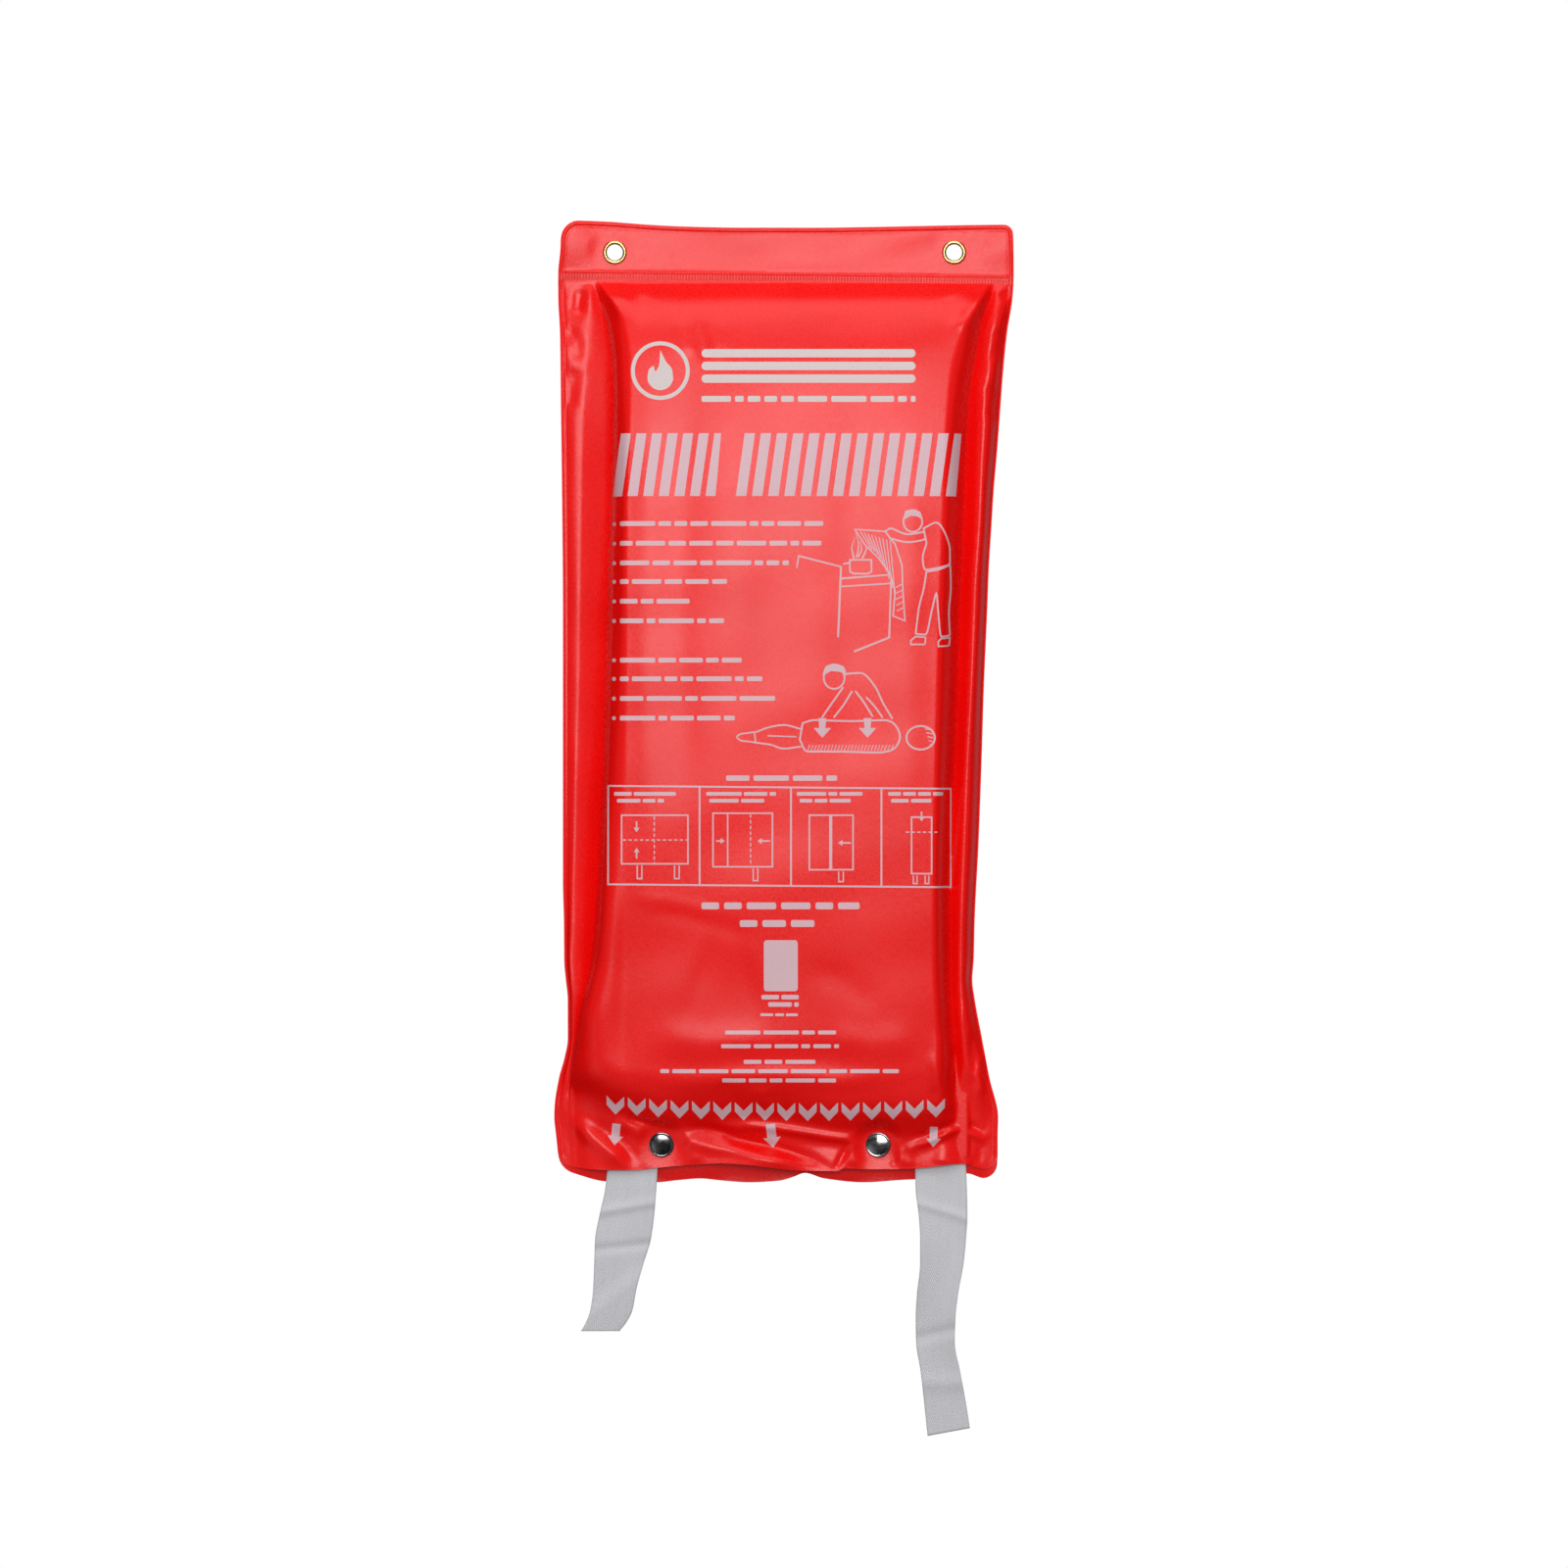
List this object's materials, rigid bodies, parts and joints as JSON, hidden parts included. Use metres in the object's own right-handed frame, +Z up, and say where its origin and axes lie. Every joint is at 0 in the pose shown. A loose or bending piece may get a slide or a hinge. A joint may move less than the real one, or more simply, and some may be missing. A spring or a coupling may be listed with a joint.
{
  "type": "fire blanket",
  "caption": "Folded fire blanket in a soft red wall pouch with hanging eyelets, a snap-stud mouth and pull tapes that draw the blanket down and out.",
  "frame": {"origin": "midway between the two hanging eyelets, on the wall plane behind the pouch", "axes": "+Z up the pouch, -Y out of the wall towards the printed front, +X to the right as seen from the front"},
  "size_m": [0.2292, 0.028, 0.6084],
  "materials": {
    "pvc_red": "satin fine-grained soft PVC with pale print on the front",
    "brass": "polished",
    "nickel": "polished nickel plate",
    "spring_steel": "bright drawn wire",
    "glass_cloth": "matt woven glass cloth",
    "tape_webbing": "matt herringbone cotton tape",
    "thread": "twisted sewing thread"
  },
  "bodies": {
    "pouch": {"back_panel": "pvc_red", "front_panel": "pvc_red", "eyelet_left": "brass", "eyelet_right": "brass", "eyelet_washer_left": "brass", "eyelet_washer_right": "brass", "stud_ball_left": "nickel", "stud_ball_right": "nickel", "stud_post_left": "nickel", "stud_post_right": "nickel"},
    "lip": {"front_lip": "pvc_red", "stud_cap_left": "nickel", "stud_cap_right": "nickel", "stud_socket_left": "nickel", "stud_socket_right": "nickel", "stud_spring_left": "spring_steel", "stud_spring_right": "spring_steel"},
    "blanket": {"folded_blanket": "glass_cloth", "hem_stitching": "thread", "tape_root_left": "tape_webbing", "tape_root_right": "tape_webbing", "tape_stitching_left": "thread", "tape_stitching_right": "thread"},
    "tape_left": {"tape_tail_left": "tape_webbing"},
    "tape_right": {"tape_tail_right": "tape_webbing"}
  },
  "joints": [
    {"name": "blanket_pull", "type": "slide", "parent": "pouch", "child": "blanket", "axis": [0, 0, -1], "range_m": [0, 0.44]},
    {"name": "lip_open", "type": "hinge", "parent": "pouch", "child": "lip", "pos_m": [0, -0.02805, -0.34], "axis": [-1, 0, 0], "range_deg": [0, 44]},
    {"name": "tape_left_swing", "type": "hinge", "parent": "blanket", "child": "tape_left", "pos_m": [-0.0791, -0.004, -0.467], "axis": [-1, 0, 0], "range_deg": [0, 85]},
    {"name": "tape_right_swing", "type": "hinge", "parent": "blanket", "child": "tape_right", "pos_m": [0.078, -0.004, -0.467], "axis": [-1, 0, 0], "range_deg": [0, 85]}
  ],
  "couplings": [
    {"joint": "lip_open", "follows": "blanket_pull", "rad_per_m": 1.745}
  ]
}
